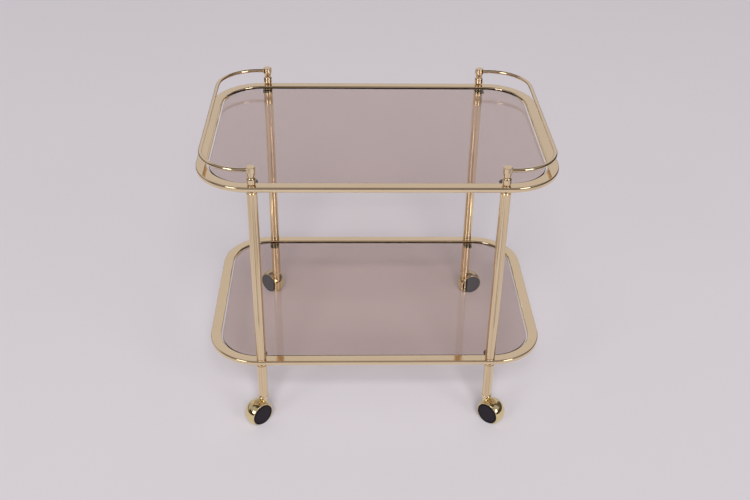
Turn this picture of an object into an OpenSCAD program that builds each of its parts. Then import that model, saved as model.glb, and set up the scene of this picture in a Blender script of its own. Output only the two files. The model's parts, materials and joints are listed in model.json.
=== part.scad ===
// Dessert trolley: two glass shelves in rounded brass frames, four round legs in two
// lengths, a U-shaped gallery rail at each end and four hooded swivel casters.
// Millimetres. X runs along the trolley, Y across it, Z up from the floor.
// The origin is on the floor, under the middle of the trolley.

/* [Shelves] */
// Length of each shelf frame, along X
shelf_length = 764; // [600:1:900]
// Depth of each shelf frame, along Y
shelf_depth = 536; // [420:1:620]
// Outer radius of the frame's corners, seen from above
shelf_corner = 116; // [100:1:125]
// Height of the top frame's upper face above the floor
top_shelf_height = 614; // [480:1:760]
// Height of the bottom frame's upper face above the floor
bottom_shelf_height = 171; // [140:1:260]

/* [Frame tube] */
// Width of the frame tube, seen from above
frame_width = 24; // [22:0.5:32]
// Height of the frame tube, seen from the side
frame_height = 11; // [10:0.5:16]
// Wall of the frame tube
frame_wall = 1.2; // [0.8:0.1:2]
// Rounding of the frame tube's long edges
frame_edge = 3; // [2.2:0.1:4]

/* [Glass] */
// Thickness of the glass panes
glass_thickness = 5; // [3:0.5:6]
// Gap between a pane and its frame, all round
glass_gap = 3; // [0.5:0.1:6]
// Thickness of the soft pads under the panes
pad_thickness = 1; // [0.5:0.1:2]
// Diameter of the soft pads
pad_diameter = 20; // [8:0.5:22]
// Width of the tabs that carry the pads
tab_width = 22; // [20:0.5:28]
// Reach of the tabs inward from the frame
tab_reach = 27; // [24:0.5:40]
// Thickness of the tabs
tab_thickness = 1.5; // [1:0.1:2.5]

/* [Legs] */
// Diameter of the leg tubes
leg_diameter = 22; // [21:0.5:26]
// Wall of the leg tubes
leg_wall = 1.2; // [0.8:0.1:2]
// Distance from the frame's end to a leg's axis, along X
leg_setback = 124.5; // [122:0.5:180]
// Distance from the frame's outer side to a leg's axis, along Y
leg_inset = 11; // [11:0.5:13]

/* [Leg joints] */
// Height of the ring at the end of each tube
ring_height = 3; // [2:0.1:5]
// Rounding of the ring's edges
ring_rounding = 1; // [0.3:0.1:1]
// Diameter of the groove between ring and tube
groove_diameter = 18.4; // [16:0.1:19]
// Height of the groove
groove_height = 1.6; // [1:0.1:3]
// Length of the plug's spigot inside the tube
spigot_length = 16; // [12:1:24]
// Diameter of the studs through the frames
stud_diameter = 6; // [5:0.5:6.5]
// Depth of a stud in a plug, from the frame's face
stud_depth = 18; // [14:1:20]

/* [Posts] */
// Diameter of the ring at a post's foot
foot_diameter = 19; // [17:0.5:22]
// Height of the ring at a post's foot
foot_height = 2.6; // [2:0.1:4]
// Rounding of the foot ring's edges
foot_rounding = 0.9; // [0.3:0.1:1]
// Diameter of a post's bead
bead_diameter = 18.5; // [17:0.5:21]
// Height of a post's bead
bead_height = 18; // [14:0.5:24]
// Rounding of the bead's ends
bead_rounding = 4.5; // [2:0.1:5]
// Diameter of the neck between bead and cap
neck_diameter = 12; // [11:0.5:13]
// Height of the neck
neck_height = 1.6; // [1:0.1:3]
// Diameter of a post's cap
cap_diameter = 19; // [17:0.5:22]
// Diameter of the cap's lower end
cap_foot_diameter = 14.6; // [13:0.1:16.5]
// Height of the cap's tapered part
cap_taper = 9; // [6:0.5:10]
// Height of the whole cap
cap_height = 20.8; // [19:0.1:28]
// Chamfer round the cap's top
cap_chamfer = 1; // [0.4:0.1:1.5]

/* [Gallery rails] */
// Diameter of the rail rod
rail_diameter = 8; // [6:0.5:10]
// Radius of the rail's bends, to the rod's axis
rail_bend = 92; // [60:1:98]
// Distance from the frame's end to the rail's axis
rail_inset = 13.5; // [8:0.5:16]
// Distance from the cap's top down to the rail's axis
rail_drop = 7.4; // [6.5:0.1:9]
// Depth of the rail's end past the cap's axis
rail_seat = 2; // [1:0.5:3]

/* [Wheels] */
// Diameter of a wheel
wheel_diameter = 50; // [44:1:56]
// Width of a wheel's tread
wheel_width = 15; // [10:0.5:18]
// Rounding of a wheel's edges
wheel_edge = 1.6; // [0.5:0.1:3]
// Depth of the dish in a wheel's face
wheel_dish = 0.6; // [0.2:0.1:1.5]
// Thickness of a wheel's web
wheel_web = 3.5; // [2.5:0.5:5]
// Thickness of a wheel's rim
wheel_rim = 4; // [2.5:0.5:6]
// Diameter of a wheel's hub
hub_diameter = 12; // [10:0.5:16]
// Length of a wheel's hub, behind the face
hub_length = 24; // [18:0.5:26]
// Diameter of the wheel axles
axle_diameter = 6; // [4:0.5:7]
// Thickness of a wheel in front of its axle
axle_cover = 4; // [4:0.5:8]

/* [Casters] */
// Distance from the swivel axis to the wheel's axis, along the way it rolls
caster_trail = 16.3; // [12:0.1:20]
// Distance from the swivel axis to the wheel's face
face_offset = 17.5; // [15:0.1:20]
// Gap between a wheel's tread and its hood at the hood's mouth
hood_gap = 0.9; // [0.6:0.1:2]
// Wall of the hood
hood_wall = 1.2; // [0.8:0.1:2]
// Diameter of the rolled bead round the hood's mouth
hood_bead = 2.4; // [1.6:0.1:3]
// Diameter of the boss inside the hood that holds the axle
boss_diameter = 10; // [9.5:0.5:12]
// How far a wheel's face stands out of the hood's mouth
face_proud = 1.7; // [1:0.1:3]
// Height of the hood's lower edge above the floor
hood_lift = 4; // [3:0.5:8]
// Height of the hood's neck above the floor
neck_top = 56; // [54:0.5:64]
// Diameter of the hood's neck at its top
hood_neck = 15; // [13:0.5:17]
// Diameter of the hood's neck at its root
hood_neck_root = 21; // [18:0.5:24]
// Diameter of the swivel stems
stem_diameter = 8; // [7:0.5:9]
// Diameter of the stem's collar
collar_diameter = 14; // [12:0.5:15]
// Height of the stem's collar
collar_height = 1.2; // [1:0.1:2]
// Length of the stem above its collar
stem_length = 38; // [30:1:44]
// Length of the stem held in the hood's neck
stem_root = 6; // [4:0.5:8]
// Height of the split ring that grips the stem
grip_height = 2; // [1:0.1:3]
// How far the split ring stands out of the stem
grip_wall = 0.8; // [0.5:0.1:1.2]
// Depth of the stem's groove for the split ring
grip_depth = 0.7; // [0.4:0.1:1]
// Distance from the stem's top down to the split ring
grip_drop = 8; // [5:0.5:12]
// Swivel of the front left, front right, rear left and rear right casters
swivel_angles = [42, -42, -42, 18];

/* [Caster sockets] */
// Diameter of the socket's neck, below the leg
socket_neck = 19; // [16:0.5:20.5]
// Height of the socket's neck
socket_neck_height = 4.5; // [3:0.1:8]
// Diameter of the socket's ring
socket_ring = 23.6; // [22:0.1:27]
// Height of the socket's ring
socket_ring_height = 6; // [4:0.1:9]
// Rounding of the socket ring's edges
socket_rounding = 1.5; // [0.5:0.1:1.9]
// Room above the stem's end in its socket
socket_room = 3; // [1:0.5:6]

/* [Clearances] */
// Clearance of a turning fit, on the radius
running_clearance = 0.05; // [0.02:0.01:0.1]
// Clearance of a fixed fit, on the radius
fixed_clearance = 0.05; // [0.02:0.01:0.1]
// Gap between faces that turn past each other
swivel_gap = 0.3; // [0.1:0.05:0.5]

/* [Hidden] */
$fn = 96;
over = 1;

CORNERS = [[-1, -1], [1, -1], [-1, 1], [1, 1]];
FRONT_LEFT = 0;
FRONT_RIGHT = 1;
REAR_LEFT = 2;
REAR_RIGHT = 3;

brass = [0.83, 0.70, 0.45];
plated_steel = [0.72, 0.70, 0.66];
smoked_glass = [0.66, 0.56, 0.55, 0.55];
black_rubber = [0.12, 0.11, 0.12];
black_plastic = [0.17, 0.15, 0.17];

leg_x = shelf_length / 2 - leg_setback;
leg_y = shelf_depth / 2 - leg_inset;
frame_x = shelf_length / 2 - frame_width / 2;
frame_y = shelf_depth / 2 - frame_width / 2;
corner_bend = shelf_corner - frame_width / 2;
rail_x = shelf_length / 2 - rail_inset;

glass_length = shelf_length - 2 * (frame_width + glass_gap);
glass_depth = shelf_depth - 2 * (frame_width + glass_gap);
glass_corner = shelf_corner - frame_width - glass_gap;
glass_bed = tab_thickness + pad_thickness;
tab_root = shelf_depth / 2 - frame_width;
pad_y = tab_root - tab_reach + tab_width / 2;

plug_height = ring_height + groove_height;
leg_bore = leg_diameter - 2 * leg_wall;
top_underside = top_shelf_height - frame_height;
bottom_underside = bottom_shelf_height - frame_height;

post_top = top_shelf_height + foot_height + bead_height + neck_height + cap_height;
cap_base = post_top - cap_height;
rail_height = post_top - rail_drop;

wheel_radius = wheel_diameter / 2;
mouth = face_offset - face_proud;
mouth_radius = wheel_radius + hood_gap;
hood_inside = sqrt(pow(mouth_radius, 2) + pow(mouth, 2));
hood_outside = hood_inside + hood_wall;
hub_end = face_offset - hub_length;
axle_seat = hood_inside + hub_end - hood_wall;
stem_foot = neck_top - stem_root;
socket_base = neck_top + collar_height + swivel_gap;
ring_base = socket_base + socket_neck_height;
leg_base = ring_base + socket_ring_height;
stem_top = neck_top + collar_height + stem_length;
grip_base = stem_top - grip_drop;
socket_end = stem_top + socket_room;

// ---------- shared shapes ----------

// Rectangle with round corners, standing on the X axis and centred on Y
module rounded_bar(width, height, rounding) {
  translate([-width / 2, rounding]) square([width, height - 2 * rounding]);
  translate([rounding - width / 2, 0]) square([width - 2 * rounding, height]);
  for (side = [-1, 1], level = [rounding, height - rounding])
    translate([side * (width / 2 - rounding), level]) circle(rounding);
}

// Rectangle with round corners, centred on the origin
module rounded_plan(length, depth, rounding) {
  square([length, depth - 2 * rounding], center = true);
  square([length - 2 * rounding, depth], center = true);
  for (x = [-1, 1], y = [-1, 1])
    translate([x * (length / 2 - rounding), y * (depth / 2 - rounding)]) circle(rounding);
}

// Carries a profile round the shelf: four straight runs and four bends
module round_the_shelf() {
  run_x = shelf_length - 2 * shelf_corner;
  run_y = shelf_depth - 2 * shelf_corner;
  for (side = [-1, 1]) {
    translate([0, side * frame_y, 0])
      rotate([90, 0, 90]) linear_extrude(run_x, center = true) children();
    translate([side * frame_x, 0, 0])
      rotate([90, 0, 0]) linear_extrude(run_y, center = true) children();
  }
  for (quarter = [0:3]) {
    right = quarter == 0 || quarter == 3 ? 1 : -1;
    rear = quarter < 2 ? 1 : -1;
    translate([right * run_x / 2, rear * run_y / 2, 0]) rotate(90 * quarter)
      rotate_extrude(angle = 90) translate([corner_bend, 0]) children();
  }
}

// Disc with a rounded rim, standing on the floor plane
module rounded_disc(diameter, height, rounding) {
  rotate_extrude() intersection() {
    rounded_bar(diameter, height, rounding);
    square([diameter, height]);
  }
}

module at_leg(corner) {
  translate([CORNERS[corner][0] * leg_x, CORNERS[corner][1] * leg_y, 0]) children();
}

// ---------- shelves ----------

module shelf_frame(height) {
  color(brass) translate([0, 0, height - frame_height]) difference() {
    union() {
      round_the_shelf() rounded_bar(frame_width, frame_height, frame_edge);
      for (corner = CORNERS)
        translate([corner[0] * leg_x, corner[1] * tab_root, 0])
          scale([1, -corner[1], 1]) glass_tab();
    }
    round_the_shelf() translate([0, frame_wall]) rounded_bar(
      frame_width - 2 * frame_wall, frame_height - 2 * frame_wall, frame_edge - frame_wall
    );
    for (corner = [0:3]) at_leg(corner) translate([0, 0, -over])
      cylinder(d = stud_diameter + 2 * fixed_clearance, h = frame_height + 2 * over);
  }
}

// Tongue under the glass with a round end, welded into the rounding of the frame's inner side
module glass_tab() {
  straight = tab_reach - tab_width / 2;
  translate([-tab_width / 2, -frame_edge, 0])
    cube([tab_width, straight + frame_edge, tab_thickness]);
  translate([0, straight, 0]) cylinder(d = tab_width, h = tab_thickness);
}

module glass_pane(height) {
  color(smoked_glass) translate([0, 0, height - frame_height + glass_bed])
    linear_extrude(glass_thickness) rounded_plan(glass_length, glass_depth, glass_corner);
}

module glass_pads(height) {
  color(black_rubber) for (corner = CORNERS)
    translate([corner[0] * leg_x, corner[1] * pad_y, height - frame_height + tab_thickness])
      cylinder(d = pad_diameter, h = pad_thickness);
}

// ---------- legs ----------

module leg_tube(low, high) {
  color(brass) difference() {
    translate([0, 0, low]) cylinder(d = leg_diameter, h = high - low);
    translate([0, 0, low - over]) cylinder(d = leg_bore, h = high - low + 2 * over);
  }
}

// Turned plug: a ring that meets the frame, a groove, and a spigot inside the tube
module leg_plug() {
  difference() {
    union() {
      rounded_disc(leg_diameter, ring_height, ring_rounding);
      cylinder(d = groove_diameter, h = plug_height);
      translate([0, 0, plug_height])
        cylinder(d = leg_bore - 2 * fixed_clearance, h = spigot_length);
    }
    translate([0, 0, -over])
      cylinder(d = stud_diameter + 2 * fixed_clearance, h = plug_height + spigot_length + 2 * over);
  }
}

module leg_plugs(corner) {
  color(brass) at_leg(corner) {
    translate([0, 0, bottom_shelf_height]) leg_plug();
    for (face = [bottom_underside, top_underside])
      translate([0, 0, face]) rotate([180, 0, 0]) leg_plug();
  }
}

module upper_leg(corner) {
  at_leg(corner) leg_tube(bottom_shelf_height + plug_height, top_underside - plug_height);
}

module lower_leg(corner) {
  at_leg(corner) leg_tube(leg_base, bottom_underside - plug_height);
}

module stud(low, high) {
  color(plated_steel) translate([0, 0, low]) cylinder(d = stud_diameter, h = high - low);
}

module upper_studs() {
  for (corner = [0:3]) at_leg(corner)
    stud(top_underside - stud_depth, rail_height - rail_diameter / 2 - swivel_gap);
}

module lower_studs() {
  for (corner = [0:3]) at_leg(corner)
    stud(bottom_underside - stud_depth, bottom_shelf_height + stud_depth);
}

// ---------- posts and gallery rails ----------

module post_bead(corner) {
  color(brass) at_leg(corner) translate([0, 0, top_shelf_height]) difference() {
    union() {
      rounded_disc(foot_diameter, foot_height, foot_rounding);
      translate([0, 0, foot_height]) rounded_disc(bead_diameter, bead_height, bead_rounding);
      translate([0, 0, foot_height + bead_height - over])
        cylinder(d = neck_diameter, h = neck_height + over);
    }
    translate([0, 0, -over])
      cylinder(d = stud_diameter + 2 * fixed_clearance, h = cap_base - top_shelf_height + 2 * over);
  }
}

module post_cap(corner) {
  color(brass) at_leg(corner) translate([0, 0, cap_base]) difference() {
    rotate_extrude() polygon([
      [0, 0],
      [cap_foot_diameter / 2, 0],
      [cap_diameter / 2, cap_taper],
      [cap_diameter / 2, cap_height - cap_chamfer],
      [cap_diameter / 2 - cap_chamfer, cap_height],
      [0, cap_height]
    ]);
    translate([0, 0, -over])
      cylinder(d = stud_diameter + 2 * fixed_clearance, h = cap_height - rail_drop + over);
    translate([-CORNERS[corner][0] * (rail_seat + swivel_gap), 0, cap_height - rail_drop])
      rotate([0, 90 * CORNERS[corner][0], 0])
        cylinder(d = rail_diameter + 2 * fixed_clearance, h = cap_diameter);
  }
}

// U-shaped rod between the front and the rear cap of one end
module gallery_rail(side) {
  straight_x = rail_x - rail_bend - leg_x + rail_seat;
  straight_y = 2 * (leg_y - rail_bend);
  color(brass) scale([side, 1, 1]) translate([0, 0, rail_height]) {
    translate([rail_x, 0, 0]) rotate([90, 0, 0])
      cylinder(d = rail_diameter, h = straight_y, center = true);
    for (end = [-1, 1]) scale([1, end, 1]) {
      translate([rail_x - rail_bend, leg_y - rail_bend, 0])
        rotate_extrude(angle = 90) translate([rail_bend, 0]) circle(d = rail_diameter);
      translate([leg_x - rail_seat, leg_y, 0]) rotate([0, 90, 0])
        cylinder(d = rail_diameter, h = straight_x);
    }
  }
}

// ---------- casters ----------

// A caster's own frame: swivel axis on Z, the wheel trailing outward along X
module at_caster(corner) {
  at_leg(corner) rotate(swivel_angles[corner]) children();
}

// The wheel's axis: the face looks along -Y, and the height axis becomes the way in
module at_wheel(corner) {
  at_caster(corner) translate([CORNERS[corner][0] * caster_trail, 0, wheel_radius])
    rotate([-90, 0, 0]) translate([0, 0, -face_offset]) children();
}

module caster_socket(corner) {
  color(brass) at_leg(corner) difference() {
    union() {
      translate([0, 0, socket_base]) cylinder(d = socket_neck, h = socket_neck_height + over);
      translate([0, 0, ring_base])
        rounded_disc(socket_ring, socket_ring_height, socket_rounding);
      translate([0, 0, leg_base - over])
        cylinder(d = leg_bore - 2 * fixed_clearance, h = socket_end - leg_base + 3 * over);
    }
    translate([0, 0, socket_base - over])
      cylinder(d = stem_diameter + 2 * running_clearance, h = socket_end - socket_base + over);
    translate([0, 0, grip_base - swivel_gap])
      cylinder(r = stem_diameter / 2 + grip_wall + swivel_gap, h = grip_height + 2 * swivel_gap);
  }
}

module caster_stem(corner) {
  color(plated_steel) at_caster(corner) difference() {
    union() {
      translate([0, 0, stem_foot]) cylinder(d = stem_diameter, h = stem_top - stem_foot);
      translate([0, 0, neck_top]) cylinder(d = collar_diameter, h = collar_height);
    }
    translate([0, 0, grip_base - swivel_gap / 2]) difference() {
      cylinder(d = stem_diameter + over, h = grip_height + swivel_gap);
      cylinder(r = stem_diameter / 2 - grip_depth, h = grip_height + swivel_gap);
    }
  }
}

// Split spring ring in the stem's groove, which holds the stem in its socket
module grip_ring(corner) {
  color(plated_steel) at_caster(corner) translate([0, 0, grip_base]) difference() {
    cylinder(r = stem_diameter / 2 + grip_wall, h = grip_height);
    translate([0, 0, -over])
      cylinder(r = stem_diameter / 2 - grip_depth + fixed_clearance, h = grip_height + 2 * over);
    translate([0, -grip_wall, -over]) cube([stem_diameter, 2 * grip_wall, grip_height + 2 * over]);
  }
}

// Ball-shaped hood: open at the wheel's face and at the floor, with a rolled bead round
// its mouth, a neck for the stem and a boss inside for the axle
module caster_hood(corner) {
  reach = 2 * hood_outside;
  centre = CORNERS[corner][0] * caster_trail;
  color(brass) at_caster(corner) difference() {
    union() {
      difference() {
        union() {
          translate([centre, 0, wheel_radius]) sphere(hood_outside);
          cylinder(d1 = hood_neck_root, d2 = hood_neck, h = neck_top);
        }
        translate([centre, 0, wheel_radius]) sphere(hood_inside);
      }
      translate([centre, hood_bead / 2 - mouth, wheel_radius]) rotate([-90, 0, 0])
        rotate_extrude() translate([mouth_radius + hood_bead / 2, 0]) circle(d = hood_bead);
      intersection() {
        translate([centre, 0, wheel_radius]) sphere(hood_inside + hood_wall / 2);
        translate([centre, swivel_gap - hub_end, wheel_radius]) rotate([-90, 0, 0])
          cylinder(d = boss_diameter, h = reach);
      }
    }
    translate([centre - reach, -reach - mouth, -reach]) cube(2 * [reach, reach / 2, reach]);
    translate([centre - reach, -reach, hood_lift - reach]) cube([2 * reach, 2 * reach, reach]);
    translate([0, 0, stem_foot - over])
      cylinder(d = stem_diameter + 2 * fixed_clearance, h = neck_top - stem_foot + 2 * over);
    translate([centre, -hub_end - over, wheel_radius]) rotate([-90, 0, 0])
      cylinder(d = axle_diameter + 2 * fixed_clearance, h = axle_seat + over);
  }
}

module axle(corner) {
  color(plated_steel) at_wheel(corner) translate([0, 0, axle_cover + swivel_gap])
    cylinder(d = axle_diameter, h = hub_length - axle_cover - swivel_gap + axle_seat);
}

// Moulded wheel: dished face, rounded tread, and a hub that reaches back to the boss
module wheel(corner) {
  dish_radius = wheel_radius - wheel_rim;
  color(black_plastic) at_wheel(corner) difference() {
    union() {
      rounded_disc(wheel_diameter, wheel_width, wheel_edge);
      cylinder(d = hub_diameter, h = hub_length);
    }
    translate([0, 0, -over]) cylinder(r = dish_radius, h = wheel_dish + over);
    translate([0, 0, wheel_web]) difference() {
      cylinder(r = dish_radius, h = wheel_width);
      cylinder(d = hub_diameter, h = wheel_width);
    }
    translate([0, 0, axle_cover])
      cylinder(d = axle_diameter + 2 * running_clearance, h = hub_length);
  }
}

// ---------- nodes ----------

shelf_frame(top_shelf_height);  // top_frame
shelf_frame(bottom_shelf_height);  // bottom_frame
glass_pane(top_shelf_height);  // top_glass
glass_pane(bottom_shelf_height);  // bottom_glass
glass_pads(top_shelf_height);  // top_glass_pads
glass_pads(bottom_shelf_height);  // bottom_glass_pads
gallery_rail(-1);  // left_gallery_rail
gallery_rail(1);  // right_gallery_rail
post_cap(FRONT_LEFT);  // front_left_post_cap
post_cap(FRONT_RIGHT);  // front_right_post_cap
post_cap(REAR_LEFT);  // rear_left_post_cap
post_cap(REAR_RIGHT);  // rear_right_post_cap
post_bead(FRONT_LEFT);  // front_left_post_bead
post_bead(FRONT_RIGHT);  // front_right_post_bead
post_bead(REAR_LEFT);  // rear_left_post_bead
post_bead(REAR_RIGHT);  // rear_right_post_bead
upper_leg(FRONT_LEFT);  // front_left_upper_leg
upper_leg(FRONT_RIGHT);  // front_right_upper_leg
upper_leg(REAR_LEFT);  // rear_left_upper_leg
upper_leg(REAR_RIGHT);  // rear_right_upper_leg
lower_leg(FRONT_LEFT);  // front_left_lower_leg
lower_leg(FRONT_RIGHT);  // front_right_lower_leg
lower_leg(REAR_LEFT);  // rear_left_lower_leg
lower_leg(REAR_RIGHT);  // rear_right_lower_leg
leg_plugs(FRONT_LEFT);  // front_left_leg_plugs
leg_plugs(FRONT_RIGHT);  // front_right_leg_plugs
leg_plugs(REAR_LEFT);  // rear_left_leg_plugs
leg_plugs(REAR_RIGHT);  // rear_right_leg_plugs
upper_studs();
lower_studs();
caster_socket(FRONT_LEFT);  // front_left_caster_socket
caster_socket(FRONT_RIGHT);  // front_right_caster_socket
caster_socket(REAR_LEFT);  // rear_left_caster_socket
caster_socket(REAR_RIGHT);  // rear_right_caster_socket
caster_stem(FRONT_LEFT);  // front_left_caster_stem
caster_stem(FRONT_RIGHT);  // front_right_caster_stem
caster_stem(REAR_LEFT);  // rear_left_caster_stem
caster_stem(REAR_RIGHT);  // rear_right_caster_stem
grip_ring(FRONT_LEFT);  // front_left_grip_ring
grip_ring(FRONT_RIGHT);  // front_right_grip_ring
grip_ring(REAR_LEFT);  // rear_left_grip_ring
grip_ring(REAR_RIGHT);  // rear_right_grip_ring
caster_hood(FRONT_LEFT);  // front_left_caster_hood
caster_hood(FRONT_RIGHT);  // front_right_caster_hood
caster_hood(REAR_LEFT);  // rear_left_caster_hood
caster_hood(REAR_RIGHT);  // rear_right_caster_hood
axle(FRONT_LEFT);  // front_left_axle
axle(FRONT_RIGHT);  // front_right_axle
axle(REAR_LEFT);  // rear_left_axle
axle(REAR_RIGHT);  // rear_right_axle
wheel(FRONT_LEFT);  // front_left_wheel
wheel(FRONT_RIGHT);  // front_right_wheel
wheel(REAR_LEFT);  // rear_left_wheel
wheel(REAR_RIGHT);  // rear_right_wheel
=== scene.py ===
"""Dessert trolley: two smoked-glass shelves in polished brass frames, on hooded casters.

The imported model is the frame. This script gives its nodes their finishes, adds the
detailed panes and wheels in place of the plain ones, and sets up a small studio.
Metres, X along the trolley, Y towards its rear side, Z up from the floor.
"""

import json
from math import cos, pi, radians, sin, tau

import bpy
import numpy as np
from bpy.props import FloatProperty, FloatVectorProperty, PointerProperty
from mathutils import Matrix, Vector


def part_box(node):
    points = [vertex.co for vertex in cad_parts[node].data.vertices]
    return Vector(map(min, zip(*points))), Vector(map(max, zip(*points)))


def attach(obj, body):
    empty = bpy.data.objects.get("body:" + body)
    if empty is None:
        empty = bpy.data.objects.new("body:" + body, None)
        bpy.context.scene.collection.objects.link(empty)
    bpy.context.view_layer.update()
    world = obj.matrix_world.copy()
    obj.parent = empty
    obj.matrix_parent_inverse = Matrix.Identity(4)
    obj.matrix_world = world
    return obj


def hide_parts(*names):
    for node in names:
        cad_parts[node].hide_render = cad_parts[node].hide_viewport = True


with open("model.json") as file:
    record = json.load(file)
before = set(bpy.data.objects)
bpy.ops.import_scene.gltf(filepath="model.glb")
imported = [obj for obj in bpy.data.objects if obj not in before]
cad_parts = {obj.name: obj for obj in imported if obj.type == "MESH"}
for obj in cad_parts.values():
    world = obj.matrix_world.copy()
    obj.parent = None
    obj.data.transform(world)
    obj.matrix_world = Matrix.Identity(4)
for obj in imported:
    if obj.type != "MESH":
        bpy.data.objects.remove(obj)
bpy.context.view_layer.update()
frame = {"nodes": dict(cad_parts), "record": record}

bl_info = {
    "name": "Dessert Trolley",
    "version": (1, 0, 0),
    "blender": (4, 5, 0),
    "location": "View3D > Sidebar > Trolley",
    "description": "Finishes, glass, wheels and studio of a brass dessert trolley",
    "category": "Object",
}

CORNERS = ("front_left", "front_right", "rear_left", "rear_right")


# ---------- shader building ----------

class Signal:
    """A number's socket that Python's operators work on: each adds one Math node."""

    def __init__(self, shade, socket):
        self.shade = shade
        self.socket = socket

    def _math(self, operation, first, second):
        made = self.shade.add("ShaderNodeMath", {"operation": operation}, {0: first, 1: second})
        return self.shade.signal(made.outputs[0])

    def __add__(self, other):
        return self._math("ADD", self, other)

    def __sub__(self, other):
        return self._math("SUBTRACT", self, other)

    def __rsub__(self, other):
        return self._math("SUBTRACT", other, self)

    def __mul__(self, other):
        return self._math("MULTIPLY", self, other)

    def __pow__(self, other):
        return self._math("POWER", self, other)

    __radd__ = __add__
    __rmul__ = __mul__


class Shade:
    """A node tree under construction, for a material or for the world."""

    def __init__(self, owner):
        owner.use_nodes = True
        self.tree = owner.node_tree
        self.tree.nodes.clear()

    def signal(self, socket):
        return Signal(self, socket)

    def add(self, kind, settings=None, inputs=None):
        """Adds a node, sets its settings (a ramp's as "stops"), then fills its sockets."""
        node = self.tree.nodes.new(kind)
        for key, value in (settings or {}).items():
            if key == "stops":
                self._set_stops(node.color_ramp, value)
            else:
                setattr(node, key, value)
        for key, value in (inputs or {}).items():
            if isinstance(value, Signal):
                value = value.socket
            if isinstance(value, bpy.types.NodeSocket):
                self.tree.links.new(value, node.inputs[key])
            else:
                node.inputs[key].default_value = value
        return node

    @staticmethod
    def _set_stops(ramp, stops):
        while len(ramp.elements) < len(stops):
            ramp.elements.new(1.0)
        for element, (place, grey) in zip(ramp.elements, stops):
            element.position = place
            element.color = (grey, grey, grey, 1.0)

    def coordinates(self, output="Object"):
        return self.add("ShaderNodeTexCoord").outputs[output]

    def stretched(self, place, scale):
        """The coordinates, scaled apart along each axis."""
        return self.add("ShaderNodeMapping", None, {"Vector": place, "Scale": scale}).outputs[0]

    def noise(self, place, scale, detail=2.0, rough=0.5):
        """Noise from 0 to 1, whose blobs are about one over scale metres wide."""
        made = self.add(
            "ShaderNodeTexNoise", None,
            {"Vector": place, "Scale": scale, "Detail": detail, "Roughness": rough},
        )
        return self.signal(made.outputs["Fac"])

    def ramp(self, factor, stops):
        """The factor turned into a grey by stops of (place, grey), eased between them."""
        made = self.add("ShaderNodeValToRGB", {"stops": stops}, {"Fac": factor})
        made.color_ramp.interpolation = "EASE"
        return self.signal(made.outputs["Color"])

    def blend(self, factor, first, second):
        """Colour mix: the first where factor is 0, the second where it is 1."""
        made = self.add(
            "ShaderNodeMix", {"data_type": "RGBA"}, {0: factor, 6: first, 7: second}
        )
        return made.outputs[2]

    def choose(self, factor, first, second):
        """Shader mix: the first where factor is 0, the second where it is 1."""
        made = self.add("ShaderNodeMixShader", None, {0: factor, 1: first, 2: second})
        return made.outputs[0]

    def ray(self, kind):
        """1 on rays of a kind, such as "Camera", and 0 on all others."""
        return self.signal(self.add("ShaderNodeLightPath").outputs[f"Is {kind} Ray"])

    def bump(self, height, distance):
        made = self.add("ShaderNodeBump", None, {"Height": height, "Distance": distance})
        return made.outputs[0]

    def split(self, vector):
        made = self.add("ShaderNodeSeparateXYZ", None, {0: vector})
        return [self.signal(socket) for socket in made.outputs]

    def principled(self, inputs):
        return self.add("ShaderNodeBsdfPrincipled", None, inputs).outputs[0]

    def finish(self, surface, kind="ShaderNodeOutputMaterial"):
        self.add(kind, None, {"Surface": surface})


def between(share, first, second):
    """Number mix: the first where share is 0, the second where it is 1."""
    return first + (second - first) * share


def opaque(colour):
    return (*colour, 1.0)


def scaled(colour, share):
    return tuple(channel * share for channel in colour)


def deeper(colour, share):
    """The colour with its light cut to a share, and cut more where it is already low."""
    return tuple(channel ** (2.0 - share) * share for channel in colour)


# ---------- finishes ----------

def polished_brass(name, colour, gloss, buffing_and_painted_streaks):
    """Plated brass: slow drift of tone, a faint haze of wiping marks, a fine grain, small
    dark specks and a slight waviness. Buffing, from 0 to 1, stretches the shine, as the fine
    marks round a tube do, and sets painted reflection streaks: dark streaks along the tube."""
    material = bpy.data.materials.new(name)
    shade = Shade(material)
    place = shade.coordinates()
    drift = shade.noise(place, scale=7.0)
    wiping = shade.noise(place, scale=38.0, detail=5.0, rough=0.62)
    haze = shade.ramp(wiping, [(0.5, 0.0), (0.78, 1.0)])
    grain = shade.noise(shade.stretched(place, (1.0, 1.0, 0.12)), scale=1400.0, detail=1.0)
    dots = shade.noise(place, scale=420.0, detail=1.0)
    specks = shade.ramp(dots, [(0.72, 0.0), (0.8, 1.0)])
    # Painted reflection: dark streaks along the tube, painted into the colour in place of
    # reflected shade.
    painted_streak_noise = shade.noise(shade.stretched(place, (1.0, 1.0, 0.006)), scale=460.0, detail=1.0)
    painted_streaks = shade.ramp(painted_streak_noise, [(0.5, 0.0), (0.62, 1.0)])
    waves = shade.noise(place, scale=22.0, detail=1.0)
    speck_strength, painted_streak_strength = 0.35, 0.55 * buffing_and_painted_streaks
    # Colour of the real specks and of the painted reflection streaks.
    dark = opaque(deeper(colour, 0.55))
    tone = shade.blend(drift, opaque(colour), opaque(deeper(colour, 0.93)))
    tone = shade.blend(specks * speck_strength, tone, dark)
    tone = shade.blend(painted_streaks * painted_streak_strength, tone, dark)
    shade.finish(shade.principled({
        "Base Color": tone,
        "Metallic": 1.0,
        "Roughness": gloss + haze * 0.05 + grain * 0.02 + specks * 0.1,
        "Anisotropic": buffing_and_painted_streaks,
        "Normal": shade.bump(waves, distance=0.00006),
    }))
    return material


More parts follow.
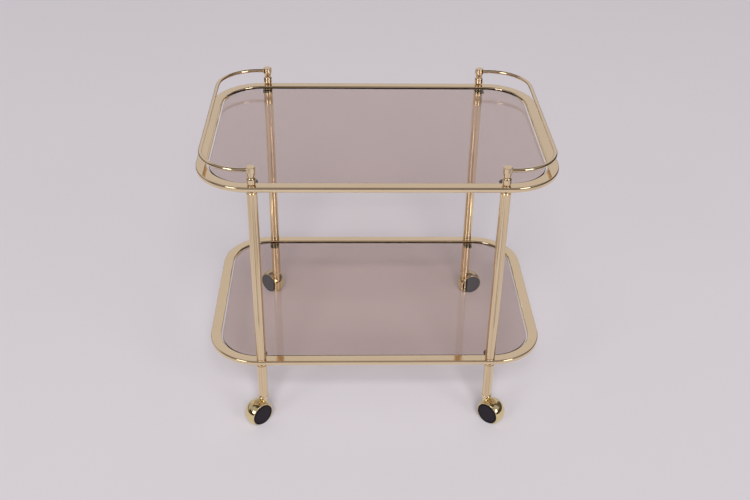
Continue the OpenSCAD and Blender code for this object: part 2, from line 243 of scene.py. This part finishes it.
def plated_steel(name, colour):
    """Zinc plate on turned steel: fine turning marks round Z and a satin shine."""
    material = bpy.data.materials.new(name)
    shade = Shade(material)
    place = shade.coordinates()
    rings = shade.noise(shade.stretched(place, (0.02, 0.02, 1.0)), scale=3500.0)
    spangle = shade.noise(place, scale=260.0)
    shade.finish(shade.principled({
        "Base Color": shade.blend(spangle, opaque(colour), opaque(deeper(colour, 0.85))),
        "Metallic": 1.0,
        "Roughness": 0.2 + rings * 0.12 + spangle * 0.06,
        "Normal": shade.bump(rings, distance=0.00001),
    }))
    return material


def smoked_glass(name, tint):
    """Tinted clear glass. Rays from lamps and from matt surfaces pass straight through it
    as through a veil, whose tint is that of the glass at a small share of its depth, so that
    the floor under the panes is lit softly."""
    material = bpy.data.materials.new(name)
    shade = Shade(material)
    place = shade.coordinates()
    cloud = shade.noise(place, scale=3.0)
    colour = shade.blend(cloud, opaque(tint), opaque(deeper(tint, 0.97)))
    pane = shade.principled({
        "Base Color": colour,
        "Roughness": 0.0,
        "IOR": 1.52,
        "Transmission Weight": 1.0,
    })
    veil_depth = 0.18
    veil_tint = opaque([channel ** veil_depth for channel in tint])
    veil = shade.add("ShaderNodeBsdfTransparent", None, {"Color": veil_tint}).outputs[0]
    pane = shade.choose(shade.ray("Diffuse"), pane, veil)
    pane = shade.choose(shade.ray("Shadow"), pane, veil)
    shade.finish(pane)
    return material


def wheel_black(name, face, tread):
    """Moulded wheel: a grey-black face inside a blacker tyre, told apart by the share of
    the radius in the piece's own UV map, with scuffs on the tread."""
    material = bpy.data.materials.new(name)
    shade = Shade(material)
    _, share, _ = shade.split(shade.coordinates("UV"))
    place = shade.coordinates()
    tyre = shade.ramp(share, [(0.86, 0.0), (0.88, 1.0)])
    rubs = shade.noise(place, scale=190.0, detail=5.0, rough=0.65)
    scuffs = shade.ramp(rubs, [(0.52, 0.0), (0.7, 1.0)])
    cells = shade.noise(place, scale=2600.0)
    scuff_strength, scuff_paleness = 0.3, 3.0
    colour = shade.blend(tyre, opaque(face), opaque(tread))
    scuffed = opaque(scaled(tread, scuff_paleness))
    colour = shade.blend(scuffs * tyre * scuff_strength, colour, scuffed)
    shade.finish(shade.principled({
        "Base Color": colour,
        "Roughness": 0.42 + tyre * 0.16 + scuffs * 0.14,
        "Specular IOR Level": 0.18,
        "Normal": shade.bump(cells, distance=0.00002),
    }))
    return material


def pad_rubber(name, colour):
    """Soft matt rubber with a cast grain."""
    material = bpy.data.materials.new(name)
    shade = Shade(material)
    place = shade.coordinates()
    grain = shade.noise(place, scale=1800.0, detail=3.0)
    shade.finish(shade.principled({
        "Base Color": shade.blend(grain, opaque(colour), opaque(deeper(colour, 0.8))),
        "Roughness": 0.7 + grain * 0.15,
        "Normal": shade.bump(grain, distance=0.00003),
    }))
    return material


def studio_floor(name, colour):
    """Matt pale floor, very slightly mottled. Past a reach from the middle, in reflections
    only, it shows as a painted dark reflection in the brass; the camera still sees it pale."""
    material = bpy.data.materials.new(name)
    shade = Shade(material)
    place = shade.coordinates()
    mottle = shade.noise(place, scale=1.1, detail=4.0, rough=0.55)
    pale = shade.principled({
        "Base Color": shade.blend(mottle, opaque(colour), opaque(scaled(colour, 0.965))),
        "Roughness": 0.75,
        "Specular IOR Level": 0.2,
    })
    # Painted dark reflection: this near-black is seen only by glossy rays, past the reach
    # below.
    dim = shade.principled({"Base Color": opaque((0.03, 0.028, 0.03)), "Roughness": 0.9})
    x, y, _ = shade.split(place)
    ramp_reach, painted_dark_start, painted_dark_end = 4.0, 1.44, 1.84
    painted_dark_reflection = shade.ramp(
        (x * x + y * y) ** 0.5 * (1.0 / ramp_reach),
        [(painted_dark_start / ramp_reach, 0.0), (painted_dark_end / ramp_reach, 1.0)],
    )
    mirrored = shade.ray("Glossy") * (1.0 - shade.ray("Transmission"))
    shade.finish(shade.choose(painted_dark_reflection * mirrored, pale, dim))
    return material


# ---------- surfaces ----------

def unit(vectors):
    return vectors / np.linalg.norm(vectors, axis=-1, keepdims=True)


def filleted(corners, radii, steps=6):
    """Profile with rounded corners. In place of each inner corner comes an arc that is
    tangent to both sides: with a the half angle between the sides, it begins radius/tan(a)
    from the corner and its middle lies radius/sin(a) along their bisector. It turns by
    pi - 2a, and its point at the share s weighs the first tangent point by
    sin((1 - s) * turn) / sin(turn) and the last by sin(s * turn) / sin(turn). The two ends
    stay as they are."""
    corners = np.asarray(corners, float)
    inner = corners[1:-1]
    back = unit(corners[:-2] - inner)
    ahead = unit(corners[2:] - inner)
    half = np.arccos(np.clip((back * ahead).sum(1), -1.0, 1.0)) / 2
    radii = np.asarray(radii, float)
    middle = inner + unit(back + ahead) * (radii / np.sin(half))[:, None]
    first = inner + back * (radii / np.tan(half))[:, None] - middle
    last = inner + ahead * (radii / np.tan(half))[:, None] - middle
    turn = (pi - 2 * half)[:, None]
    share = np.linspace(0.0, 1.0, steps)[None, :]
    of_first = (np.sin((1 - share) * turn) / np.sin(turn))[..., None]
    of_last = (np.sin(share * turn) / np.sin(turn))[..., None]
    arcs = middle[:, None] + of_first * first[:, None] + of_last * last[:, None]
    return np.vstack([corners[:1], arcs.reshape(-1, 2), corners[-1:]])


def rounded_rectangle(length, depth, radius, arc_points=24, side_points=8):
    """Outline anticlockwise: four quarter arcs of (radius * cos t, radius * sin t) about
    (+-(length/2-radius), +-(depth/2-radius)), joined by straights that a few points divide."""
    quarter = np.linspace(0.0, pi / 2, arc_points)
    start = np.arange(4)[:, None] * pi / 2
    along = radius * np.stack([np.cos(start + quarter), np.sin(start + quarter)], -1)
    sides = np.array([[1, 1], [-1, 1], [-1, -1], [1, -1]])
    arcs = along + (sides * (length / 2 - radius, depth / 2 - radius))[:, None]
    share = np.linspace(0.0, 1.0, side_points + 2)[1:-1][None, :, None]
    straights = arcs[:, -1:] * (1 - share) + np.roll(arcs, -1, axis=0)[:, :1] * share
    return np.concatenate([arcs, straights], axis=1).reshape(-1, 2)


def weighted_normals(points, faces):
    """A point's normal is the sum of its faces' area vectors, so that a broad flat stays
    flat beside a narrow fillet. An area vector is half the cross product of the diagonals."""
    a, b, c, d = np.moveaxis(points[faces], 1, 0)
    area = np.cross(c - a, d - b) / 2
    total = np.zeros_like(points)
    np.add.at(total, faces, area[:, None])
    return unit(total)


def skin(name, rings, first_pole, last_pole, share=None):
    """Closed skin over rings[ring, point, xyz]: quads between rings and a fan to a pole at
    each end. share holds one number per ring, which becomes the UV map's height; its width
    is the turn round the ring."""
    rows, count = rings.shape[:2]
    points = np.vstack([rings.reshape(-1, 3), [first_pole], [last_pole]])
    row, column = np.meshgrid(np.arange(rows - 1), np.arange(count), indexing="ij")
    here = row * count + column
    beside = row * count + (column + 1) % count
    quads = np.stack([here, here + count, beside + count, beside], -1).reshape(-1, 4)
    turn = np.arange(count)
    after = (turn + 1) % count
    first = np.stack([np.full(count, rows * count), turn, after], -1)
    foot = (rows - 1) * count
    last = np.stack([np.full(count, rows * count + 1), foot + after, foot + turn], -1)
    mesh = bpy.data.meshes.new(name)
    mesh.from_pydata(points, [], quads.tolist() + first.tolist() + last.tolist())
    if share is not None:
        wide = np.stack([column, column, column + 1, column + 1], -1) / count
        high = share[np.stack([row, row + 1, row + 1, row], -1)]
        fan = np.stack([turn + 0.5, turn, turn + 1], -1) / count
        back_fan = np.stack([turn + 0.5, turn + 1, turn], -1) / count
        ends = np.repeat([[share[0]] * 3, [share[-1]] * 3], count, axis=0)
        uv = np.vstack([
            np.stack([wide, high], -1).reshape(-1, 2),
            np.stack([np.vstack([fan, back_fan]), ends], -1).reshape(-1, 2),
        ])
        mesh.uv_layers.new(name="turned").data.foreach_set("uv", uv.ravel())
    mesh.validate()
    mesh.shade_smooth()
    corners = np.vstack([quads, first[:, [0, 1, 2, 2]], last[:, [0, 1, 2, 2]]])
    mesh.normals_split_custom_set_from_vertices(weighted_normals(points, corners))
    piece = bpy.data.objects.new(name, mesh)
    bpy.context.scene.collection.objects.link(piece)
    return piece


def pane_surface(name, low, high, corner, arris, arc_points=5):
    """Glass pane: its outline is a rounded rectangle, and its edge profile a quarter circle
    of the arris radius at the top and at the bottom, with a flat between them. At the angle
    t the quarter circle lies arris * (1 - sin t) in from the outline and
    arris * (1 - cos t) below the face. A ring half a corner further in keeps each face flat."""
    size = high - low
    middle = (low + high) / 2
    t = np.linspace(0.0, pi / 2, arc_points)
    inset = arris * (1 - np.sin(t))
    drop = arris * (1 - np.cos(t))
    insets = np.concatenate([[corner / 2], inset, inset[::-1], [corner / 2]])
    drops = np.concatenate([[0.0], drop, size[2] - drop[::-1], [size[2]]])
    outlines = np.stack([
        rounded_rectangle(size[0] - 2 * inset, size[1] - 2 * inset, corner - inset)
        for inset in insets
    ])
    levels = np.broadcast_to((high[2] - drops)[:, None, None], (*outlines.shape[:2], 1))
    rings = np.concatenate([outlines + middle[:2], levels], -1)
    top, bottom = (middle[0], middle[1], high[2]), (middle[0], middle[1], low[2])
    return skin(name, rings, top, bottom)


def turned_surface(name, profile, centre, axis, steps=96):
    """Piece turned about a level axis: each profile point (radius, depth) goes round it, at
    centre - depth * axis + radius * (cos t * across + sin t * up). The profile's two ends lie
    on the axis, as the poles of the skin."""
    across = np.cross((0.0, 0.0, 1.0), axis)
    up = np.cross(axis, across)
    t = np.arange(steps) * tau / steps
    around = np.cos(t)[:, None] * across + np.sin(t)[:, None] * up
    radius, depth = profile[1:-1].T
    rings = centre - depth[:, None, None] * axis + radius[:, None, None] * around
    poles = [centre - profile[end][1] * axis for end in (0, -1)]
    return skin(name, rings, *poles, share=radius / radius.max())


# ---------- settings ----------

def length_property(name, description, default):
    return FloatProperty(
        name=name, description=description, default=default, unit="LENGTH", precision=4
    )


def angle_property(name, description, degrees):
    return FloatProperty(
        name=name, description=description, default=radians(degrees), subtype="ANGLE"
    )


def share_property(name, description, default):
    return FloatProperty(name=name, description=description, default=default, min=0, max=1)


def power_property(name, description, default):
    return FloatProperty(name=name, description=description, default=default, unit="POWER")


def colour_property(name, description, default):
    return FloatVectorProperty(
        name=name, description=description, default=default, subtype="COLOR", min=0, max=1
    )


class TrolleyFinishes(bpy.types.PropertyGroup):
    """Colours and gloss of the trolley's materials."""

    brass: colour_property("Brass", "Plated brass of frames and tubes", (0.92, 0.75, 0.50))
    hood_brass: colour_property("Hood brass", "Yellower brass of the hoods", (0.88, 0.75, 0.43))
    brass_roughness: share_property("Brass roughness", "Blur of the brass", 0.045)
    leg_roughness: share_property("Leg roughness", "Blur of the drawn legs", 0.09)
    buffing_and_painted_streaks: share_property("Buffing", "Stretch of the legs' shine", 0.8)
    steel: colour_property("Steel", "Zinc plate of studs and stems", (0.62, 0.60, 0.56))
    glass: colour_property("Glass", "Tint of light through a pane", (0.73, 0.62, 0.575))
    rubber: colour_property("Rubber", "Pads under the panes", (0.02, 0.02, 0.02))
    wheel_face: colour_property("Wheel face", "Moulded wheel", (0.013, 0.010, 0.0155))
    tyre: colour_property("Tyre", "Tread and shoulders", (0.007, 0.006, 0.0075))


class TrolleyGlass(bpy.types.PropertyGroup):
    """Shape of the glass panes."""

    corner: length_property("Corner", "Radius of a pane's corners", 0.089)
    arris: length_property("Arris", "Rounding of a pane's polished edges", 0.0018)


class TrolleyWheels(bpy.types.PropertyGroup):
    """Sizes of the moulded wheels."""

    width: length_property("Width", "Width of the tread", 0.015)
    shoulder: length_property("Shoulder", "Rounding of the tread's edges", 0.0016)
    tyre: length_property("Tyre", "Thickness of the tyre", 0.003)
    groove: length_property("Groove", "Width of the joint between tyre and face", 0.0005)
    dish: length_property("Dish", "Depth of the dished face", 0.0006)
    web: length_property("Web", "Depth of the web's back from the face", 0.0035)
    rim: length_property("Rim", "Thickness of the rim, tyre included", 0.004)
    hub: length_property("Hub", "Radius of the hub", 0.006)
    bore: length_property("Bore", "Radius of the bore", 0.00305)
    cover: length_property("Cover", "Depth of the bore's end from the face", 0.004)


class TrolleyStudio(bpy.types.PropertyGroup):
    """Floor, surroundings, grey cards, lamps and camera."""

    floor: colour_property("Floor", "Colour of the floor", (0.652, 0.623, 0.657))
    floor_radius: length_property("Floor radius", "Radius of the round floor", 9.0)
    wall: colour_property("Wall", "Wall behind the floor in the picture", (0.53, 0.505, 0.535))
    dark_room: colour_property("Dark room", "Darkest surroundings", (0.03, 0.016, 0.006))
    pale_room: colour_property("Pale room", "Palest surroundings", (1.0, 0.955, 1.0))
    card_tone: share_property("Card tone", "Share of the floor's colour in a grey card", 0.45)
    card_inside: length_property("Card inside", "Middle line to a card's inner edge", 0.28)
    card_outside: length_property("Card outside", "Middle line to a card's outer edge", 0.40)
    card_near: length_property("Card near", "From the trolley's middle to a card", 0.62)
    card_far: length_property("Card far", "From the trolley's middle to a card's end", 1.25)
    aim: length_property("Aim", "Height above the floor that the lamps face", 0.3)
    softbox_turn: angle_property("Softbox turn", "Turn of a softbox from the front", 41.0)
    softbox_rise: angle_property("Softbox rise", "Elevation of the softboxes", 26.0)
    softbox_distance: length_property("Softbox distance", "From the aim to a softbox", 24.0)
    softbox_size: length_property("Softbox size", "Side of a square softbox", 7.7)
    softbox_power: power_property("Softbox power", "Power of each softbox", 1000.0)
    fill_rise: angle_property("Fill rise", "Elevation of the fill light in front", 40.0)
    fill_distance: length_property("Fill distance", "From the aim to the fill light", 40.0)
    fill_size: length_property("Fill size", "Side of the square fill light", 18.0)
    fill_power: power_property("Fill power", "Power of the fill light", 15000.0)
    lens: FloatProperty(name="Lens", description="Focal length in mm", default=48.39)
    camera_place: FloatVectorProperty(
        name="Camera", description="Place of the camera",
        default=(-0.0667, -2.0447, 1.5936), subtype="TRANSLATION", unit="LENGTH",
    )
    pitch: angle_property("Pitch", "How far the camera looks down", 32.353)
    yaw: angle_property("Yaw", "Turn of the camera to the left", -1.925)
    roll: angle_property("Roll", "Tilt of the camera", 1.003)


# ---------- operators ----------

def give(names, material):
    """Puts one material in every slot of the named CAD nodes."""
    for name in names:
        piece = frame["nodes"][name]
        for slot in piece.material_slots:
            slot.link = "OBJECT"
            slot.material = material


def nodes_of(slot):
    """Names of the CAD nodes whose record gives them a material slot."""
    return [row["node"] for row in frame["record"]["subparts"] if row["material_slot"] == slot]


def points_of(node):
    """The points of a CAD node's mesh, as an array."""
    vertices = frame["nodes"][node].data.vertices
    points = np.empty(3 * len(vertices), np.float32)
    vertices.foreach_get("co", points)
    return points.reshape(-1, 3)


class TROLLEY_OT_brasswork(bpy.types.Operator):
    """Finish the frames, legs, posts, rails, sockets and hoods in polished brass"""

    bl_idname = "trolley.brasswork"
    bl_label = "Brasswork"

    def execute(self, context):
        finish = context.scene.trolley_finishes
        gloss, leg_gloss = finish.brass_roughness, finish.leg_roughness
        brass = nodes_of("polished_brass")
        hoods = [name for name in brass if name.endswith("_caster_hood")]
        legs = [name for name in brass if name.endswith("_leg")]
        plain = [name for name in brass if name not in hoods + legs]
        give(plain, polished_brass("polished_brass", finish.brass, gloss, 0.0))
        give(legs, polished_brass("spun_brass", finish.brass, leg_gloss, finish.buffing_and_painted_streaks))
        give(hoods, polished_brass("cast_brass", finish.hood_brass, gloss, 0.0))
        return {"FINISHED"}


class TROLLEY_OT_small_parts(bpy.types.Operator):
    """Finish the studs, stems, grip rings and axles in plated steel, and the pads in rubber"""

    bl_idname = "trolley.small_parts"
    bl_label = "Small Parts"

    def execute(self, context):
        finish = context.scene.trolley_finishes
        give(nodes_of("plated_steel"), plated_steel("zinc_plated_steel", finish.steel))
        give(nodes_of("pad_rubber"), pad_rubber("cast_rubber", finish.rubber))
        return {"FINISHED"}


class TROLLEY_OT_glass(bpy.types.Operator):
    """Build the two smoked panes with ground and polished edges"""

    bl_idname = "trolley.glass"
    bl_label = "Glass Panes"

    def execute(self, context):
        sizes = context.scene.trolley_glass
        material = smoked_glass("smoked_float_glass", context.scene.trolley_finishes.glass)
        for node in nodes_of("smoked_glass"):
            low, high = (np.array(corner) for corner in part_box(node))
            pane = pane_surface(node + "_polished", low, high, sizes.corner, sizes.arris)
            pane.data.materials.append(material)
            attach(pane, "cart")
            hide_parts(node)
        return {"FINISHED"}


def wheel_profile(sizes, radius, length):
    """Half section of a wheel as (radius, depth behind the face), from the middle of the
    face over the tread to the bottom of the blind bore."""
    tyre_seat = radius - sizes.tyre
    inside = radius - sizes.rim
    corners = [
        (0.0, sizes.dish),
        (inside - sizes.dish, sizes.dish),
        (inside, 0.0),
        (tyre_seat - sizes.groove, 0.0),
        (tyre_seat - sizes.groove / 2, sizes.groove),
        (tyre_seat, 0.0),
        (radius, 0.0),
        (radius, sizes.width),
        (inside, sizes.width),
        (inside, sizes.web),
        (sizes.hub, sizes.web),
        (sizes.hub, length),
        (sizes.bore, length),
        (sizes.bore, sizes.cover),
        (0.0, sizes.cover),
    ]
    fine = sizes.groove / 4
    radii = [fine] * 5 + [sizes.shoulder, sizes.shoulder] + [fine] * 6
    return filleted(corners, radii)


class TROLLEY_OT_wheels(bpy.types.Operator):
    """Build the four moulded wheels, each with a tyre, a dished face and a blind bore"""

    bl_idname = "trolley.wheels"
    bl_label = "Wheels"

    def execute(self, context):
        finish = context.scene.trolley_finishes
        material = wheel_black("moulded_black", finish.wheel_face, finish.tyre)
        joints = {row["name"]: row for row in frame["record"]["behaviour"]["joints"]}
        for corner in CORNERS:
            node = corner + "_wheel"
            joint = joints[corner + "_roll"]
            hub, axis = np.array(joint["pos_m"]), unit(np.array(joint["axis"], float))
            along = (points_of(node) - hub) @ axis
            low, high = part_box(node)
            radius, length = (high[2] - low[2]) / 2, np.ptp(along)
            profile = wheel_profile(context.scene.trolley_wheels, radius, length)
            face = hub + along.max() * axis
            wheel = turned_surface(node + "_moulded", profile, face, axis)
            wheel.data.materials.append(material)
            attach(wheel, corner + "_roller")
            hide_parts(node)
        return {"FINISHED"}


def add_softbox(name, place, target, size, power):
    """Square lamp that faces its target, hidden from the camera but not from reflections."""
    lamp = bpy.data.lights.new(name, "AREA")
    lamp.shape = "RECTANGLE"
    lamp.size = size
    lamp.size_y = size
    lamp.energy = power
    box = bpy.data.objects.new(name, lamp)
    box.location = place
    box.rotation_euler = (place - target).to_track_quat("Z", "Y").to_euler()
    box.visible_camera = False
    bpy.context.scene.collection.objects.link(box)
    return box


def on_sphere(azimuth, elevation, distance):
    """The place at a distance from the origin, by its azimuth from X and its elevation."""
    return distance * Vector((
        cos(elevation) * cos(azimuth), cos(elevation) * sin(azimuth), sin(elevation)
    ))


def add_floor(radius, material, thickness=0.01, count=24, steps=96):
    """Round floor: rings of radius * s squared, with s in even steps from near 0 to 1, each
    at (cos t, sin t), and an upright rim down to its underside."""
    s = np.linspace(0.02, 1.0, count)
    t = np.arange(steps) * tau / steps
    ring = np.stack([np.cos(t), np.sin(t), 0 * t], -1)
    rings = (radius * s ** 2)[:, None, None] * ring
    underside = (0.0, 0.0, -thickness)
    rings = np.concatenate([rings, rings[-1:] + underside])
    floor = skin("studio_floor", rings[::-1], underside, (0.0, 0.0, 0.0))
    floor.data.materials.append(material)


def add_card(name, studio, side, material, lift=0.002):
    """Card that lies on the floor in front of the trolley, at the side -1 or 1, and shows
    only in reflections: a painted dark reflection, a dark streak in the legs. It is a rectangle
    of four points."""
    left, right = sorted((side * studio.card_inside, side * studio.card_outside))
    front, rear = -studio.card_far, -studio.card_near
    outline = [(left, front), (right, front), (right, rear), (left, rear)]
    mesh = bpy.data.meshes.new(name)
    mesh.from_pydata([(*point, lift) for point in outline], [], [(0, 1, 2, 3)])
    mesh.materials.append(material)
    card = bpy.data.objects.new(name, mesh)
    card.visible_camera = False
    card.visible_diffuse = False
    card.visible_shadow = False
    card.visible_transmission = False
    bpy.context.scene.collection.objects.link(card)


def light_world(studio):
    """Surroundings that the brass reflects. A direction is split into its shares to the
    right, to the rear and upwards, and each part of the room is a ramp over the share
    upwards, which is the sine of the elevation: a pale backdrop behind the trolley, a pale
    wall to its left, a dim one to its right, and a front that is pale only high up. All of
    them end in a dim ceiling. The camera sees an even wall on every side, also through the
    panes."""
    world = bpy.data.worlds.new("studio_surroundings")
    bpy.context.scene.world = world
    shade = Shade(world)
    rightward, rearward, upward = shade.split(shade.coordinates("Generated"))
    backdrop = shade.ramp(upward, [(0.0, 0.5), (0.2, 0.58), (0.68, 0.6), (0.78, 0.05)])
    left_wall = shade.ramp(upward, [(0.0, 0.2), (0.3, 0.45), (0.6, 0.45), (0.8, 0.08)])
    right_wall = shade.ramp(upward, [(0.0, 0.05), (0.5, 0.08), (0.8, 0.06)])
    front = shade.ramp(upward, [(0.34, 0.03), (0.5, 0.42), (0.88, 0.42), (0.95, 0.05)])
    right = shade.ramp(rightward * 0.5 + 0.5, [(0.45, 0.0), (0.55, 1.0)])
    aside = shade.ramp(rightward * rightward, [(0.3, 0.0), (0.5, 1.0)])
    behind = shade.ramp(rearward * 0.5 + 0.5, [(0.46, 0.0), (0.56, 1.0)])
    walls = between(right, left_wall, right_wall)
    rear = between(aside, backdrop, walls)
    grey = between(behind, front, rear)
    tint = shade.blend(grey, opaque(studio.dark_room), opaque(studio.pale_room))
    seen = shade.ray("Camera") + shade.ray("Transmission")
    tint = shade.blend(seen, tint, opaque(studio.wall))
    sky = shade.add("ShaderNodeBackground", None, {"Color": tint, "Strength": 1.0})
    shade.finish(sky.outputs[0], "ShaderNodeOutputWorld")


def add_camera(studio):
    """Camera that looks down at the trolley from its front side."""
    data = bpy.data.cameras.new("studio_camera")
    data.sensor_width = 36.0
    data.lens = studio.lens
    camera = bpy.data.objects.new("studio_camera", data)
    camera.matrix_world = (
        Matrix.Translation(studio.camera_place)
        @ Matrix.Rotation(studio.yaw, 4, "Z")
        @ Matrix.Rotation(pi / 2 - studio.pitch, 4, "X")
        @ Matrix.Rotation(studio.roll, 4, "Z")
    )
    bpy.context.scene.collection.objects.link(camera)
    bpy.context.scene.camera = camera


class TROLLEY_OT_studio(bpy.types.Operator):
    """Set up the pale floor, the soft lamps, the surroundings and the camera"""

    bl_idname = "trolley.studio"
    bl_label = "Studio"

    def execute(self, context):
        studio = context.scene.trolley_studio
        context.scene.view_settings.view_transform = "Standard"
        add_floor(studio.floor_radius, studio_floor("studio_floor", studio.floor))
        # The grey cards are painted dark reflections: seen only in the brass, never by the
        # camera, and they cast no shadow.
        grey = studio_floor("grey_card", scaled(studio.floor, studio.card_tone))
        aim = Vector((0.0, 0.0, studio.aim))
        front = -pi / 2
        for name, side in (("left", -1), ("right", 1)):
            add_card(name + "_grey_card", studio, side, grey)
            place = aim + on_sphere(
                front + side * studio.softbox_turn, studio.softbox_rise, studio.softbox_distance
            )
            size, power = studio.softbox_size, studio.softbox_power
            add_softbox(name + "_softbox", place, aim, size, power)
        place = aim + on_sphere(front, studio.fill_rise, studio.fill_distance)
        size, power = studio.fill_size, studio.fill_power
        fill = add_softbox("high_front_fill", place, aim, size, power)
        fill.visible_glossy = False
        fill.visible_transmission = False
        light_world(studio)
        add_camera(studio)
        return {"FINISHED"}


# ---------- panel and registration ----------

OPERATORS = (
    TROLLEY_OT_brasswork,
    TROLLEY_OT_small_parts,
    TROLLEY_OT_glass,
    TROLLEY_OT_wheels,
    TROLLEY_OT_studio,
)

SETTINGS = {
    "trolley_finishes": TrolleyFinishes,
    "trolley_glass": TrolleyGlass,
    "trolley_wheels": TrolleyWheels,
    "trolley_studio": TrolleyStudio,
}


class TROLLEY_PT_panel(bpy.types.Panel):
    """Sidebar panel with the settings and one button per group of pieces"""

    bl_label = "Dessert Trolley"
    bl_idname = "TROLLEY_PT_panel"
    bl_space_type = "VIEW_3D"
    bl_region_type = "UI"
    bl_category = "Trolley"

    def draw(self, context):
        for name in SETTINGS:
            settings = getattr(context.scene, name)
            box = self.layout.box()
            for key in settings.__annotations__:
                box.prop(settings, key)
        for operator in OPERATORS:
            self.layout.operator(operator.bl_idname)


CLASSES = (*SETTINGS.values(), *OPERATORS, TROLLEY_PT_panel)


def register():
    for cls in CLASSES:
        bpy.utils.register_class(cls)
    for name, cls in SETTINGS.items():
        setattr(bpy.types.Scene, name, PointerProperty(type=cls))


def unregister():
    for name in SETTINGS:
        delattr(bpy.types.Scene, name)
    for cls in reversed(CLASSES):
        bpy.utils.unregister_class(cls)


def main():
    register()
    for operator in OPERATORS:
        group, name = operator.bl_idname.split(".")
        getattr(getattr(bpy.ops, group), name)()


if __name__ == "__main__":
    main()
